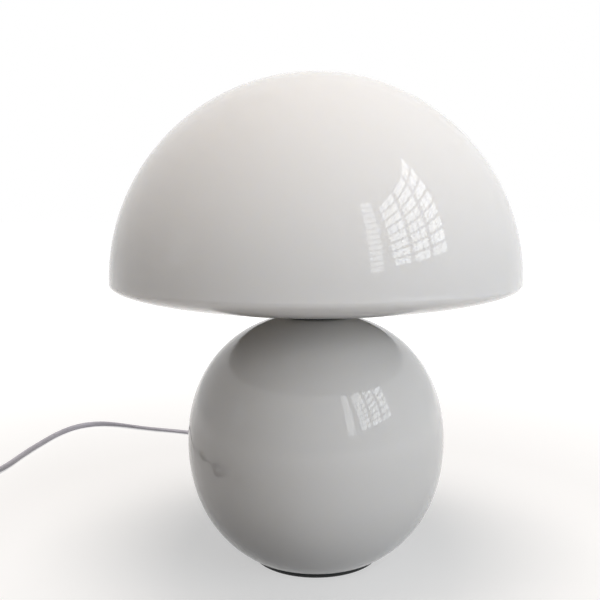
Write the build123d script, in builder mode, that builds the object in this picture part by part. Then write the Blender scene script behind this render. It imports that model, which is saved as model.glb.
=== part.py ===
from build123d import *

import math
import os

os.makedirs("parts", exist_ok=True)

# Mushroom table lamp. Millimetres and degrees, +Z up. The lamp stands on the
# table plane z = 0 with its axis on Z and its front towards -Y. The cord leaves
# low at the back and runs along the table to the left.

# ---------------------------------------------------------------------------
# Driving dimensions
# ---------------------------------------------------------------------------

# Opal glass base, a full-bellied globe ground flat at the neck and at the foot
globe_radius = 96.4
globe_height = 178.9  # between the two ground edges
globe_belly_height = 86.0  # above the ground foot edge
globe_crown_ground = 2.9  # height ground off the blown crown
globe_foot_ground = 13.0  # height ground off the blown bottom
globe_fullness = 0.6  # 0.552 is an ellipse, and more is squarer in the shoulders
globe_wall = 4.0
globe_edge_round = 2.6
globe_foot_hole_radius = 42.0
neck_hole_radius = 16.0

# Opal glass shade, a half-round dome with a drawn-in lip
shade_radius = 150.0
shade_wall = 3.0
lip_width = 45.0
lip_depth = 15.2
lip_slope = 9.0  # of the lip at its edge, below level
lip_above_neck = 12.2  # lip's lowest line above the globe's ground neck

# Foot: rubber pad, pressed plate, gasket, cast weight
foot_radius = 49.5
pad_thickness = 1.2
pad_inset = 1.0
pad_hole_radius = 16.0
plate_thickness = 1.6
plate_recess_radius = 18.0  # flat top of the raised centre, under which the nut hides
plate_recess_rise = 7.4
plate_cone_width = 6.0
plate_edge_round = 0.6
foot_gasket_thickness = 0.9
foot_gasket_width = 3.6
weight_height = 15.0
weight_clearance = 1.5

# Threaded tube with its nuts and washers
tube_radius = 5.0
tube_bore_radius = 4.0
thread_clearance = 0.05
hole_clearance = 0.3
nut_across_flats = 17.0
nut_height = 5.0
nut_corner_turn = 0.8
foot_washer_radius = 11.0
neck_washer_radius = 12.0
washer_thickness = 1.4
tube_below_nut = 0.5
wire_slot_length = 22.0
wire_slot_width = 6.4

# Neck
bush_flange_radius = 22.0
bush_flange_thickness = 2.5
bush_spigot_length = 4.5
bush_clearance = 0.3
collar_radius = 24.4
collar_wall = 1.2
collar_round = 2.4
collar_above_glass = 0.3

# E27 lampholder
holder_cap_height = 22.0
holder_cap_floor = 4.0
holder_cap_radius = 20.0
holder_cap_foot_radius = 17.0
holder_wall = 2.2
holder_ledge_width = 3.0
holder_mouth_round = 0.6
tube_in_holder = 3.0  # tube's end above the floor of the lampholder's cap
holder_sleeve_radius = 19.6
holder_sleeve_height = 36.0
holder_flange_radius = 24.0
holder_flange_thickness = 2.5
insert_height = 14.0
insert_drop = 6.0  # how far the ceramic insert reaches down into the cap
insert_clearance = 0.3
screw_shell_radius = 14.4
screw_shell_wall = 0.5
screw_shell_height = 24.0
screw_shell_flange = 16.0
contact_width = 6.0
contact_thickness = 0.6
contact_rise = 4.0
contact_foot_reach = 9.0  # how far the tongue's foot lies from the lampholder's axis
contact_foot_end = 4.2
contact_tip_reach = 3.0
terminal_size = (5.0, 7.0, 6.0)
terminal_inner_face = 8.0
terminal_screw_radius = 1.5
shade_ring_radius = 27.0
shade_ring_height = 8.0
shade_ring_clearance = 0.2
shade_ring_notches = 20
shade_ring_notch_radius = 0.9

# Carrier of the shade: a hub and three wire arms with soft caps
hub_radius = 36.0
hub_thickness = 2.0
arm_count = 3
arm_first_angle = 90.0
arm_wire_radius = 1.75
arm_weld_start = 29.5
arm_bend_start = 41.0
arm_bend_radius = 8.0
cap_contact_angle = 48.0  # where the caps bear, as an angle up the dome
cap_radius = 4.0
cap_length = 11.0
cap_hole_clearance = 0.1
cap_to_glass = 0.3

# Light bulb, 60 mm pear shape with an E27 cap
bulb_radius = 30.0
bulb_length = 108.0
bulb_cap_radius = 13.1
bulb_cap_height = 20.5
bulb_contact_radius = 4.8
bulb_contact_height = 2.0
bulb_contact_round = 1.2
bulb_insulator_radius = 10.5
bulb_insulator_height = 3.2
bulb_housing_height = 25.0
bulb_housing_radius = 26.5
bulb_housing_neck = 14.2
bulb_housing_flare = (0.45, 0.6)  # shares of its height where the bell curve bends
bulb_board_thickness = 1.6
bulb_wall = 1.4
bulb_lift = 0.3  # contact gap between the bulb and the lampholder's tongue

# Cord entry at the back of the globe
cord_exit_share = 0.36  # of the way down the globe's outline below the belly line
cord_diameter = 6.2
boot_bore_clearance = 0.05
boot_neck_radius = 6.0
boot_hole_clearance = 0.2
boot_flange_radius = 9.0
boot_flange_thickness = 2.0
boot_length = 26.0
boot_root_radius = 6.6
boot_tip_radius = 4.5
boot_grooves = 5
boot_groove_depth = 0.7
boot_inside = 9.5
boot_nut_radius = 9.2
boot_nut_thickness = 3.5
boot_nut_gap = 0.9
sheath_inside = 34.0

# Insulated cores from the sheath's end to the lampholder's terminals
core_radius = 1.1
core_spacing = 2.5
core_bend_radius = 14.0
core_end_bend_radius = 3.0

# Inline rocker switch on the cord
switch_length = 62.0
switch_width = 26.0
switch_end_width = 14.0
switch_shoulder = 10.0
switch_height = 17.0
switch_cord_height = 6.0  # also the parting line of its two halves
switch_corner_round = 4.0
switch_top_round = 2.5
switch_bottom_round = 1.2
rocker_well = (12.6, 22.6)
rocker_size = (12.0, 20.8)
rocker_pivot_height = 11.5
rocker_end_height = 5.0
rocker_middle_height = 3.6
rocker_skirt = 1.0
rocker_keel = 4.4
rocker_keel_width = 8.0
rocker_tilt = 8.0
rocker_round = 0.8
trunnion_radius = 1.5
trunnion_length = 1.6
trunnion_clearance = 0.06
trunnion_end_clearance = 0.4
switch_screw_offset = 21.0
switch_screw_radius = 1.4
switch_screw_head_radius = 2.6
switch_screw_head_height = 1.8
switch_screw_recess = 2.4
switch_screw_grip = 5.0
cord_channel_depth = 6.0
cord_channel_clearance = 0.1

# Two-pin mains plug
plug_length = 36.0
plug_width = 35.0
plug_height = 13.0
plug_rear_width = 13.0
plug_waist = (8.0, 15.0)  # how far from the rear, and how wide
plug_shoulder = 22.4  # from the rear to where the body is full width
plug_tail_length = 14.0
plug_tail_radius = 5.6
plug_tail_tip_radius = 4.3
plug_round = 2.6
plug_face_round = 2.1
pin_radius = 2.0
pin_length = 19.0
pin_spacing = 18.6
pin_set_in = 9.0
pin_root_radius = 1.6
pin_tip_round = 1.0

# Put-away coil of the cord: turns in each of two layers
coil_turns = 2
coil_middle_radius = 34.0
coil_pitch = 6.9
coil_layer_height = 6.7
coil_centre_y = -55.0
coil_steps_per_turn = 4
coil_climb = 0.5  # share of a turn in which the cord climbs a layer
coil_samples = 900

# ---------------------------------------------------------------------------
# Heights that follow from the stack of parts
# ---------------------------------------------------------------------------

plate_bottom = pad_thickness
plate_top = plate_bottom + plate_thickness
globe_bottom = plate_top + foot_gasket_thickness
belly_height = globe_bottom + globe_belly_height
neck_top = globe_bottom + globe_height
globe_rise = globe_height - globe_belly_height + globe_crown_ground
globe_drop = globe_belly_height + globe_foot_ground

recess_underside = plate_bottom + plate_recess_rise
recess_top = recess_underside + plate_thickness
foot_nut_top = recess_underside - washer_thickness
tube_bottom = foot_nut_top - nut_height - tube_below_nut

bush_top = neck_top + bush_flange_thickness
neck_washer_top = bush_top + washer_thickness
neck_nut_top = neck_washer_top + nut_height
collar_top = neck_nut_top + collar_wall
holder_floor_top = collar_top + holder_cap_floor
holder_cap_top = collar_top + holder_cap_height
tube_top = holder_floor_top + tube_in_holder
holder_top = holder_cap_top + holder_sleeve_height
flange_top = holder_cap_top + holder_flange_thickness
hub_top = flange_top + hub_thickness
insert_bottom = holder_cap_top - insert_drop
insert_top = insert_bottom + insert_height

bulb_bottom = insert_top + contact_rise + bulb_lift
bulb_contact_top = bulb_bottom + bulb_contact_height
bulb_insulator_top = bulb_contact_top + bulb_insulator_height
bulb_cap_top = bulb_insulator_top + bulb_cap_height
bulb_housing_top = bulb_cap_top + bulb_housing_height
bulb_top = bulb_bottom + bulb_length

lip_bottom = neck_top + lip_above_neck
widest_line = lip_bottom + lip_depth
lip_radius = shade_radius - lip_width


def ring(inner_radius, outer_radius, bottom, top):
    """A flat ring or plain bush round the lamp's axis."""
    with BuildPart() as piece:
        with BuildSketch(Plane.XY.offset(bottom)):
            Circle(outer_radius)
            Circle(inner_radius, mode=Mode.SUBTRACT)
        extrude(amount=top - bottom)
    return piece


def hex_nut(bottom, top, hole_radius):
    """A hexagon nut round the lamp's axis, with turned corners on both faces."""
    corner_radius = nut_across_flats / math.sqrt(3)
    with BuildPart() as nut:
        with BuildSketch(Plane.XY.offset(bottom)):
            RegularPolygon(radius=corner_radius, side_count=6)
            Circle(hole_radius, mode=Mode.SUBTRACT)
        extrude(amount=top - bottom)
        with BuildSketch(Plane.XZ):
            with BuildLine():
                Polyline(
                    (0, bottom),
                    (corner_radius - nut_corner_turn, bottom),
                    (corner_radius + nut_corner_turn, bottom + nut_corner_turn),
                    (corner_radius + nut_corner_turn, top - nut_corner_turn),
                    (corner_radius - nut_corner_turn, top),
                    (0, top),
                    close=True,
                )
            make_face()
        revolve(axis=Axis.Z, mode=Mode.INTERSECT)
    return nut


def finish(piece, name):
    """Name a finished piece and write its file."""
    piece.part.label = name
    export_step(piece.part, f"parts/{name}.step")


# ---------------------------------------------------------------------------
# Glass base
# ---------------------------------------------------------------------------


def below_belly(wall):
    """Outline points from the belly line down to the lowest point, inside a wall."""
    radius = globe_radius - wall
    drop = globe_drop - wall
    return [
        (radius, belly_height),
        (radius, belly_height - globe_fullness * drop),
        (globe_fullness * radius, belly_height - drop),
        (0, belly_height - drop),
    ]


def above_belly(wall):
    """Outline points from the crown down to the belly line, inside a wall."""
    radius = globe_radius - wall
    rise = globe_rise - wall
    return [
        (0, belly_height + rise),
        (globe_fullness * radius, belly_height + rise),
        (radius, belly_height + globe_fullness * rise),
        (radius, belly_height),
    ]


with BuildLine(Plane.YZ):
    back_outline = Bezier(*below_belly(0))
exit_point = back_outline @ cord_exit_share
down_outline = back_outline % cord_exit_share
exit_direction = Vector(0, -down_outline.Z, down_outline.Y)
exit_axis = Axis(exit_point, exit_direction)
exit_across = Plane(origin=exit_point, x_dir=(1, 0, 0), z_dir=exit_direction)
exit_along = Plane(origin=exit_point, x_dir=exit_direction, z_dir=(1, 0, 0))

with BuildPart() as globe:
    with BuildSketch(Plane.XZ):
        for wall, keep in ((0, Mode.ADD), (globe_wall, Mode.SUBTRACT)):
            with BuildLine():
                shoulder = Bezier(*above_belly(wall))
                belly = Bezier(*below_belly(wall))
                Line(belly @ 1, shoulder @ 0)
            make_face(mode=keep)
        with Locations((0, globe_bottom)):
            Rectangle(
                2 * globe_radius, globe_height, align=(Align.CENTER, Align.MIN), mode=Mode.INTERSECT
            )
        with Locations((0, neck_top)):
            Rectangle(2 * neck_hole_radius, globe_height, mode=Mode.SUBTRACT)
        with Locations((0, globe_bottom)):
            Rectangle(2 * globe_foot_hole_radius, 4 * globe_wall, mode=Mode.SUBTRACT)
    revolve(axis=Axis.Z)
    fillet(
        globe.edges()
        .filter_by(GeomType.CIRCLE)
        .group_by(Axis.Z)[0]
        .sort_by(SortBy.RADIUS)[-1],
        radius=globe_edge_round,
    )
    with BuildSketch(exit_across.offset(globe_wall)):
        Circle(boot_neck_radius + boot_hole_clearance)
    extrude(amount=-3 * globe_wall, mode=Mode.SUBTRACT)
finish(globe, "globe")

# ---------------------------------------------------------------------------
# Foot, weight and the threaded tube that clamps the base together
# ---------------------------------------------------------------------------

foot_pad = ring(pad_hole_radius, foot_radius - pad_inset, 0, pad_thickness)
finish(foot_pad, "foot_pad")

cone_top_radius = plate_recess_radius
cone_foot_radius = plate_recess_radius + plate_cone_width
with BuildPart() as foot_plate:
    with BuildSketch(Plane.XZ):
        with BuildLine():
            Polyline(
                (tube_radius + hole_clearance, recess_underside),
                (cone_top_radius, recess_underside),
                (cone_foot_radius, plate_bottom),
                (foot_radius, plate_bottom),
                (foot_radius, plate_top),
                (cone_foot_radius + plate_thickness / 2, plate_top),
                (cone_top_radius + plate_thickness / 2, recess_top),
                (tube_radius + hole_clearance, recess_top),
                close=True,
            )
        make_face()
    revolve(axis=Axis.Z)
    rim = foot_plate.edges().filter_by(GeomType.CIRCLE).sort_by(SortBy.RADIUS)[-2:]
    fillet(rim, radius=plate_edge_round)
finish(foot_plate, "foot_plate")

foot_gasket = ring(
    foot_radius - foot_gasket_width, foot_radius - pad_inset / 2, plate_top, globe_bottom
)
finish(foot_gasket, "foot_gasket")

weight_radius = globe_foot_hole_radius - weight_clearance
weight_recess_radius = cone_foot_radius + weight_clearance
weight_top = plate_top + weight_height
with BuildPart() as base_weight:
    with BuildSketch(Plane.XZ):
        with BuildLine():
            Polyline(
                (weight_recess_radius, plate_top),
                (weight_radius, plate_top),
                (weight_radius, weight_top),
                (tube_radius + hole_clearance, weight_top),
                (tube_radius + hole_clearance, recess_top),
                (weight_recess_radius, recess_top),
                close=True,
            )
        make_face()
    revolve(axis=Axis.Z)
    top_edge = base_weight.edges().filter_by(GeomType.CIRCLE).group_by(Axis.Z)[-1]
    fillet(top_edge.sort_by(SortBy.RADIUS)[-1], radius=weight_clearance)
finish(base_weight, "base_weight")

foot_washer = ring(
    tube_radius + hole_clearance, foot_washer_radius, foot_nut_top, recess_underside
)
finish(foot_washer, "foot_washer")
foot_nut = hex_nut(foot_nut_top - nut_height, foot_nut_top, tube_radius + thread_clearance)
finish(foot_nut, "foot_nut")

# The cores reach the tube along the line of the cord entry and bend up inside it
core_meets_tube = exit_point.Z - exit_point.Y * exit_direction.Z / exit_direction.Y
with BuildPart() as threaded_tube:
    with BuildSketch(Plane.XY.offset(tube_bottom)):
        Circle(tube_radius)
        Circle(tube_bore_radius, mode=Mode.SUBTRACT)
    extrude(amount=tube_top - tube_bottom)
    with BuildSketch(Plane.XZ):
        with Locations((0, core_meets_tube)):
            SlotOverall(wire_slot_length, wire_slot_width, rotation=90)
    extrude(amount=-2 * tube_radius, mode=Mode.SUBTRACT)
finish(threaded_tube, "threaded_tube")

# ---------------------------------------------------------------------------
# Neck
# ---------------------------------------------------------------------------

with BuildPart() as neck_bush:
    with BuildSketch(Plane.XY.offset(neck_top - bush_spigot_length)):
        Circle(neck_hole_radius - bush_clearance)
    extrude(amount=bush_spigot_length)
    with BuildSketch(Plane.XY.offset(neck_top)):
        Circle(bush_flange_radius)
    extrude(amount=bush_flange_thickness)
    with Locations((0, 0, bush_top)):
        Hole(tube_radius + hole_clearance)
finish(neck_bush, "neck_bush")

neck_washer = ring(tube_radius + hole_clearance, neck_washer_radius, bush_top, neck_washer_top)
finish(neck_washer, "neck_washer")
neck_nut = hex_nut(neck_washer_top, neck_nut_top, tube_radius + thread_clearance)
finish(neck_nut, "neck_nut")

# Spun collar: the dark band between the globe and the shade
collar_bottom = neck_top + collar_above_glass
with BuildPart() as neck_collar:
    with BuildSketch(Plane.XY.offset(collar_bottom)):
        Circle(collar_radius)
    extrude(amount=collar_top - collar_bottom)
    fillet(neck_collar.edges().group_by(Axis.Z)[-1], radius=collar_round)
    with BuildSketch(Plane.XY.offset(collar_bottom)):
        Circle(collar_radius - collar_wall)
    extrude(amount=neck_nut_top - collar_bottom, mode=Mode.SUBTRACT)
    with BuildSketch(Plane.XY.offset(collar_top)):
        Circle(tube_radius + hole_clearance)
    extrude(amount=-2 * collar_wall, mode=Mode.SUBTRACT)
finish(neck_collar, "neck_collar")

# ---------------------------------------------------------------------------
# Lampholder
# ---------------------------------------------------------------------------

holder_bore = holder_cap_radius - holder_wall
with BuildPart() as holder_cap:
    with BuildSketch(Plane.XZ):
        with BuildLine():
            Polyline(
                (tube_radius + thread_clearance, collar_top),
                (holder_cap_foot_radius, collar_top),
                (holder_cap_radius, collar_top + holder_cap_floor),
                (holder_cap_radius, holder_cap_top),
                (holder_bore, holder_cap_top),
                (holder_bore, insert_bottom),
                (holder_bore - holder_ledge_width, insert_bottom),
                (holder_bore - holder_ledge_width, holder_floor_top),
                (tube_radius + thread_clearance, holder_floor_top),
                close=True,
            )
        make_face()
    revolve(axis=Axis.Z)
finish(holder_cap, "holder_cap")

sleeve_bore = holder_sleeve_radius - holder_wall
with BuildPart() as holder_sleeve:
    with BuildSketch(Plane.XY.offset(holder_cap_top)):
        Circle(holder_sleeve_radius)
    extrude(amount=holder_sleeve_height)
    with BuildSketch(Plane.XY.offset(holder_cap_top)):
        Circle(holder_flange_radius)
    extrude(amount=holder_flange_thickness)
    with Locations((0, 0, holder_top)):
        Hole(sleeve_bore)
    fillet(holder_sleeve.edges().group_by(Axis.Z)[-1], radius=holder_mouth_round)
finish(holder_sleeve, "holder_sleeve")

with BuildPart() as holder_insert:
    with BuildSketch(Plane.XY.offset(insert_bottom)):
        Circle(sleeve_bore - insert_clearance)
    extrude(amount=insert_height)
    chamfer(holder_insert.edges().group_by(Axis.Z)[-1], length=insert_clearance)
finish(holder_insert, "holder_insert")

with BuildPart() as screw_shell:
    with BuildSketch(Plane.XY.offset(insert_top)):
        Circle(screw_shell_flange)
        Circle(screw_shell_radius - screw_shell_wall, mode=Mode.SUBTRACT)
    extrude(amount=screw_shell_wall)
    with BuildSketch(Plane.XY.offset(insert_top)):
        Circle(screw_shell_radius)
        Circle(screw_shell_radius - screw_shell_wall, mode=Mode.SUBTRACT)
    extrude(amount=screw_shell_height)
finish(screw_shell, "screw_shell")

with BuildPart() as centre_contact:
    with BuildSketch(Plane.XZ.offset(-contact_width / 2)):
        with BuildLine():
            Polyline(
                (-contact_foot_reach, insert_top),
                (-contact_foot_end, insert_top),
                (0, insert_top + contact_rise - contact_thickness),
                (contact_tip_reach, insert_top + contact_rise - contact_thickness),
                (contact_tip_reach, insert_top + contact_rise),
                (-contact_thickness / 2, insert_top + contact_rise),
                (-contact_foot_end - contact_thickness / 2, insert_top + contact_thickness),
                (-contact_foot_reach, insert_top + contact_thickness),
                close=True,
            )
        make_face()
    extrude(amount=contact_width)
finish(centre_contact, "centre_contact")

terminal_length, terminal_width, terminal_height = terminal_size
terminal_centres = [
    (side * (terminal_inner_face + terminal_length / 2), 0) for side in (-1, 1)
]
with BuildPart() as terminal_blocks:
    with BuildSketch(Plane.XY.offset(insert_bottom)):
        with Locations(*terminal_centres):
            Rectangle(terminal_length, terminal_width)
    extrude(amount=-terminal_height)
finish(terminal_blocks, "terminal_blocks")

with BuildPart() as terminal_screws:
    with BuildSketch(Plane.XY.offset(insert_bottom - terminal_height)):
        with Locations(*terminal_centres):
            Circle(terminal_screw_radius)
    extrude(amount=-terminal_screw_radius)
finish(terminal_screws, "terminal_screws")

with BuildPart() as shade_ring:
    with BuildSketch(Plane.XY.offset(hub_top)):
        Circle(shade_ring_radius)
        Circle(holder_sleeve_radius + shade_ring_clearance, mode=Mode.SUBTRACT)
        with PolarLocations(shade_ring_radius, shade_ring_notches):
            Circle(shade_ring_notch_radius, mode=Mode.SUBTRACT)
    extrude(amount=shade_ring_height)
finish(shade_ring, "shade_ring")

# ---------------------------------------------------------------------------
# Shade and its carrier
# ---------------------------------------------------------------------------

dome_inner_radius = shade_radius - shade_wall
slope = math.radians(lip_slope)
lip_edge = Vector(lip_radius, lip_bottom)
lip_inner_edge = lip_edge + Vector(-math.sin(slope), math.cos(slope)) * shade_wall


def lip_curve(edge, radius):
    """Outline points of the lip, from its edge out and up to the widest line."""
    return [
        (edge.X, edge.Y),
        (radius, edge.Y + (radius - edge.X) * math.tan(slope)),
        (radius, widest_line),
    ]


with BuildPart() as shade:
    with BuildSketch(Plane.XZ):
        with BuildLine():
            crown = CenterArc((0, widest_line), shade_radius, start_angle=0, arc_size=90)
            crown_inside = CenterArc(
                (0, widest_line), dome_inner_radius, start_angle=0, arc_size=90
            )
            Line(crown @ 1, crown_inside @ 1)
            Bezier(*lip_curve(lip_edge, shade_radius))
            Bezier(*lip_curve(lip_inner_edge, dome_inner_radius))
            TangentArc(
                lip_edge, lip_inner_edge, tangent=(-math.cos(slope), -math.sin(slope))
            )
        make_face()
    revolve(axis=Axis.Z)
finish(shade, "shade")

carrier_hub = ring(holder_sleeve_radius + shade_ring_clearance, hub_radius, flange_top, hub_top)
finish(carrier_hub, "carrier_hub")

# Where a cap's round end bears on the dome's inside, in the arm's own plane
contact_angle = math.radians(cap_contact_angle)
dome_centre = Vector(0, widest_line)
bearing_normal = Vector(math.cos(contact_angle), math.sin(contact_angle))
ball_distance = dome_inner_radius - cap_to_glass - cap_radius
ball_centre = dome_centre + bearing_normal * ball_distance
arm_height = hub_top + arm_wire_radius
arm_rise = (ball_centre - Vector(arm_bend_start, arm_height)).normalized()
arm_tip = ball_centre - arm_rise * cap_hole_clearance


def arm_plane(number):
    """Upright plane through the lamp's axis, with local X outwards and local Y up."""
    angle = math.radians(arm_first_angle + number * 360 / arm_count)
    return Plane(
        origin=(0, 0, 0),
        x_dir=(math.cos(angle), math.sin(angle), 0),
        z_dir=(math.sin(angle), -math.cos(angle), 0),
    )


for number in range(arm_count):
    upright = arm_plane(number)
    with BuildPart() as arm:
        with BuildLine(upright):
            arm_path = FilletPolyline(
                (arm_weld_start, arm_height),
                (arm_bend_start, arm_height),
                (arm_tip.X, arm_tip.Y),
                radius=arm_bend_radius,
            )
        with BuildSketch(Plane(origin=arm_path @ 0, z_dir=arm_path % 0)):
            Circle(arm_wire_radius)
        sweep(path=arm_path)
    finish(arm, f"carrier_arm_{number + 1}")

    ball = upright.from_local_coords(ball_centre)
    along_arm = upright.from_local_coords(ball_centre + arm_rise) - ball
    with BuildPart() as cap:
        with BuildSketch(Plane(origin=ball, x_dir=along_arm, z_dir=upright.z_dir)):
            with BuildLine():
                hole = arm_wire_radius + cap_hole_clearance
                tip = CenterArc((0, 0), cap_radius, start_angle=0, arc_size=90)
                Polyline(
                    tip @ 1,
                    (-cap_length, cap_radius),
                    (-cap_length, hole),
                    (0, hole),
                    (0, 0),
                    tip @ 0,
                )
            make_face()
        revolve(axis=Axis(ball, along_arm))
    finish(cap, f"carrier_cap_{number + 1}")

# ---------------------------------------------------------------------------
# Bulb
# ---------------------------------------------------------------------------

with BuildPart() as bulb_contact:
    with BuildSketch(Plane.XY.offset(bulb_bottom)):
        Circle(bulb_contact_radius)
    extrude(amount=bulb_contact_height)
    fillet(bulb_contact.edges().group_by(Axis.Z)[0], radius=bulb_contact_round)
finish(bulb_contact, "bulb_contact")

with BuildPart() as bulb_insulator:
    with BuildSketch(Plane.XZ):
        with BuildLine():
            Polyline(
                (0, bulb_contact_top),
                (bulb_contact_radius, bulb_contact_top),
                (bulb_insulator_radius, bulb_insulator_top),
                (0, bulb_insulator_top),
                close=True,
            )
        make_face()
    revolve(axis=Axis.Z)
finish(bulb_insulator, "bulb_insulator")

with BuildPart() as bulb_cap:
    with BuildSketch(Plane.XY.offset(bulb_insulator_top)):
        Circle(bulb_cap_radius)
    extrude(amount=bulb_cap_height)
    fillet(bulb_cap.edges().group_by(Axis.Z)[0], radius=bulb_contact_height)
finish(bulb_cap, "bulb_cap")

flare_start, flare_end = bulb_housing_flare
with BuildPart() as bulb_housing:
    with BuildSketch(Plane.XZ):
        with BuildLine():
            flare = Bezier(
                (bulb_housing_neck, bulb_cap_top),
                (bulb_housing_neck, bulb_cap_top + bulb_housing_height * flare_start),
                (bulb_housing_radius, bulb_cap_top + bulb_housing_height * flare_end),
                (bulb_housing_radius, bulb_housing_top),
            )
            Polyline(flare @ 1, (0, bulb_housing_top), (0, bulb_cap_top), flare @ 0)
        make_face()
    revolve(axis=Axis.Z)
finish(bulb_housing, "bulb_housing")

board_radius = bulb_housing_radius - 2 * bulb_wall
with BuildPart() as bulb_board:
    with BuildSketch(Plane.XY.offset(bulb_housing_top)):
        Circle(board_radius)
    extrude(amount=bulb_board_thickness)
finish(bulb_board, "bulb_board")

envelope_centre = bulb_top - bulb_radius
envelope_join = Vector(bulb_housing_radius, bulb_housing_top)
envelope_inner_join = Vector(bulb_housing_radius - bulb_wall, bulb_housing_top)
with BuildPart() as bulb_envelope:
    with BuildSketch(Plane.XZ):
        with BuildLine():
            ball_outside = CenterArc(
                (0, envelope_centre), bulb_radius, start_angle=0, arc_size=90
            )
            neck_outside = TangentArc(
                ball_outside @ 0, envelope_join, tangent=(0, -1)
            )
            ball_inside = CenterArc(
                (0, envelope_centre), bulb_radius - bulb_wall, start_angle=0, arc_size=90
            )
            neck_inside = TangentArc(
                ball_inside @ 0, envelope_inner_join, tangent=(0, -1)
            )
            Line(neck_outside @ 1, neck_inside @ 1)
            Line(ball_outside @ 1, ball_inside @ 1)
        make_face()
    revolve(axis=Axis.Z)
finish(bulb_envelope, "bulb_envelope")

# ---------------------------------------------------------------------------
# Cord entry: strain relief, its nut, the sheathed cord inside and its two cores
# ---------------------------------------------------------------------------

cord_radius = cord_diameter / 2
boot_bore = cord_radius + boot_bore_clearance
boot_tip = boot_flange_thickness + boot_length
with BuildPart() as cord_boot:
    with BuildSketch(exit_along):
        with BuildLine():
            Polyline(
                (-boot_inside, boot_bore),
                (-boot_inside, boot_neck_radius),
                (0, boot_neck_radius),
                (0, boot_flange_radius),
                (boot_flange_thickness, boot_flange_radius),
                (boot_flange_thickness, boot_root_radius),
                (boot_tip, boot_tip_radius),
                (boot_tip, boot_bore),
                close=True,
            )
        make_face()
        groove_pitch = boot_length / (boot_grooves + 1)
        for groove in range(1, boot_grooves + 1):
            along = groove * groove_pitch
            taper = (boot_root_radius - boot_tip_radius) / boot_length
            depth_line = boot_root_radius - taper * along - boot_groove_depth / 2
            with Locations((boot_flange_thickness + along, depth_line + boot_groove_depth)):
                Rectangle(groove_pitch / 2, 2 * boot_groove_depth, mode=Mode.SUBTRACT)
    revolve(axis=exit_axis)
finish(cord_boot, "cord_boot")

with BuildPart() as boot_nut:
    with BuildSketch(exit_across.offset(-globe_wall - boot_nut_gap)):
        RegularPolygon(radius=boot_nut_radius, side_count=6)
        Circle(boot_neck_radius + thread_clearance, mode=Mode.SUBTRACT)
    extrude(amount=-boot_nut_thickness)
finish(boot_nut, "boot_nut")

with BuildPart() as cord_inside:
    with BuildSketch(exit_across.offset(-sheath_inside)):
        Circle(cord_radius)
    extrude(amount=sheath_inside + boot_tip)
finish(cord_inside, "cord_inside")

sheath_end = exit_point - exit_direction * sheath_inside
terminal_middle = insert_bottom - terminal_height / 2
for side, name in ((-1, "core_blue"), (1, "core_brown")):
    beside = side * core_spacing / 2
    with BuildPart() as core:
        with BuildLine():
            core_path = FilletPolyline(
                (beside, sheath_end.Y, sheath_end.Z),
                (beside, 0, core_meets_tube),
                (beside, 0, terminal_middle),
                (side * terminal_inner_face, 0, terminal_middle),
                radius=[core_bend_radius, core_end_bend_radius],
            )
        with BuildSketch(Plane(origin=core_path @ 0, z_dir=core_path % 0)):
            Circle(core_radius)
        sweep(path=core_path)
    finish(core, name)

# ---------------------------------------------------------------------------
# Cord on the table
# ---------------------------------------------------------------------------

# Points of the route as chosen: x, y and height of the cord's centre line. The
# first run leaves along the strain relief and meets the table.
lie = cord_radius
cord_start = exit_point + exit_direction * boot_tip
touch_down = exit_point + exit_direction * ((exit_point.Z - lie) / -exit_direction.Z)
lead_route = [
    (cord_start.X, cord_start.Y, cord_start.Z),
    (touch_down.X, touch_down.Y, touch_down.Z),
    (4, 180, lie),
    (-2, 221, lie),
    (-22, 257, lie),
    (-57, 283, lie),
    (-104, 302, lie),
    (-156, 324, lie),
    (-203, 337, lie),
    (-241, 353, lie),
    (-267, 356, lie),
    (-289, 341, lie),
    (-300.5, 310, lie),
    (-307, 271, lie),
    (-312, 230, lie),
    (-314, 192, lie),
    (-321, 160, 4.5),
    (-332, 131, switch_cord_height),
    (-332, 100, switch_cord_height),
]
switch_x, cord_in_switch_y, _ = lead_route[-1]
switch_entry_y = cord_in_switch_y + cord_channel_depth
switch_y = switch_entry_y - switch_length / 2
switch_exit_y = switch_entry_y - switch_length
tail_route = [
    (switch_x, switch_exit_y + cord_channel_depth, switch_cord_height),
    (-332, 21, switch_cord_height),
    (-336, -2, lie),
    (-332, -26, lie),
    (switch_x, coil_centre_y + cord_diameter, lie),
]
coil_exit_height = lie + coil_layer_height
plug_cord_height = plug_height / 2
end_route = [
    (switch_x, coil_centre_y - cord_diameter, coil_exit_height),
    (-332, -83, coil_exit_height),
    (-333, -106, lie),
    (-320, -128, lie + 1),
    (-297, -141, plug_cord_height),
    (-275, -141, plug_cord_height),
]


def arc_radii(route):
    """The largest arcs that each corner's two runs leave room for."""
    points = [Vector(*point) for point in route]
    radii = []
    for before, corner, after in zip(points, points[1:], points[2:]):
        shorter_run = min((corner - before).length, (after - corner).length)
        half_turn = math.radians((corner - before).get_angle(after - corner)) / 2
        radii.append(0.45 * shorter_run / math.tan(half_turn))
    return radii


def report_tube(name, tube, length):
    """Print a tube's volume beside its section times its length."""
    expected = math.pi * cord_radius**2 * length
    print(f"{name}: length {length:.1f}, volume {tube.part.volume:.0f}, by length {expected:.0f}")


def cord_stretch(name, route):
    """A stretch of cord that isn't coiled: straight runs joined by tangent arcs."""
    radii = arc_radii(route)
    with BuildPart() as stretch:
        with BuildLine():
            path = FilletPolyline(*route, radius=radii)
        with BuildSketch(Plane(origin=path @ 0, z_dir=path % 0)):
            Circle(cord_radius)
        sweep(path=path)
    print(f"{name}: radii", " ".join(f"{radius:.0f}" for radius in radii))
    report_tube(name, stretch, path.length)
    finish(stretch, name)
    return path.length


lead_length = cord_stretch("cord_lead", lead_route)
tail_length = cord_stretch("cord_tail", tail_route)
end_length = cord_stretch("cord_end", end_route)

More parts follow.
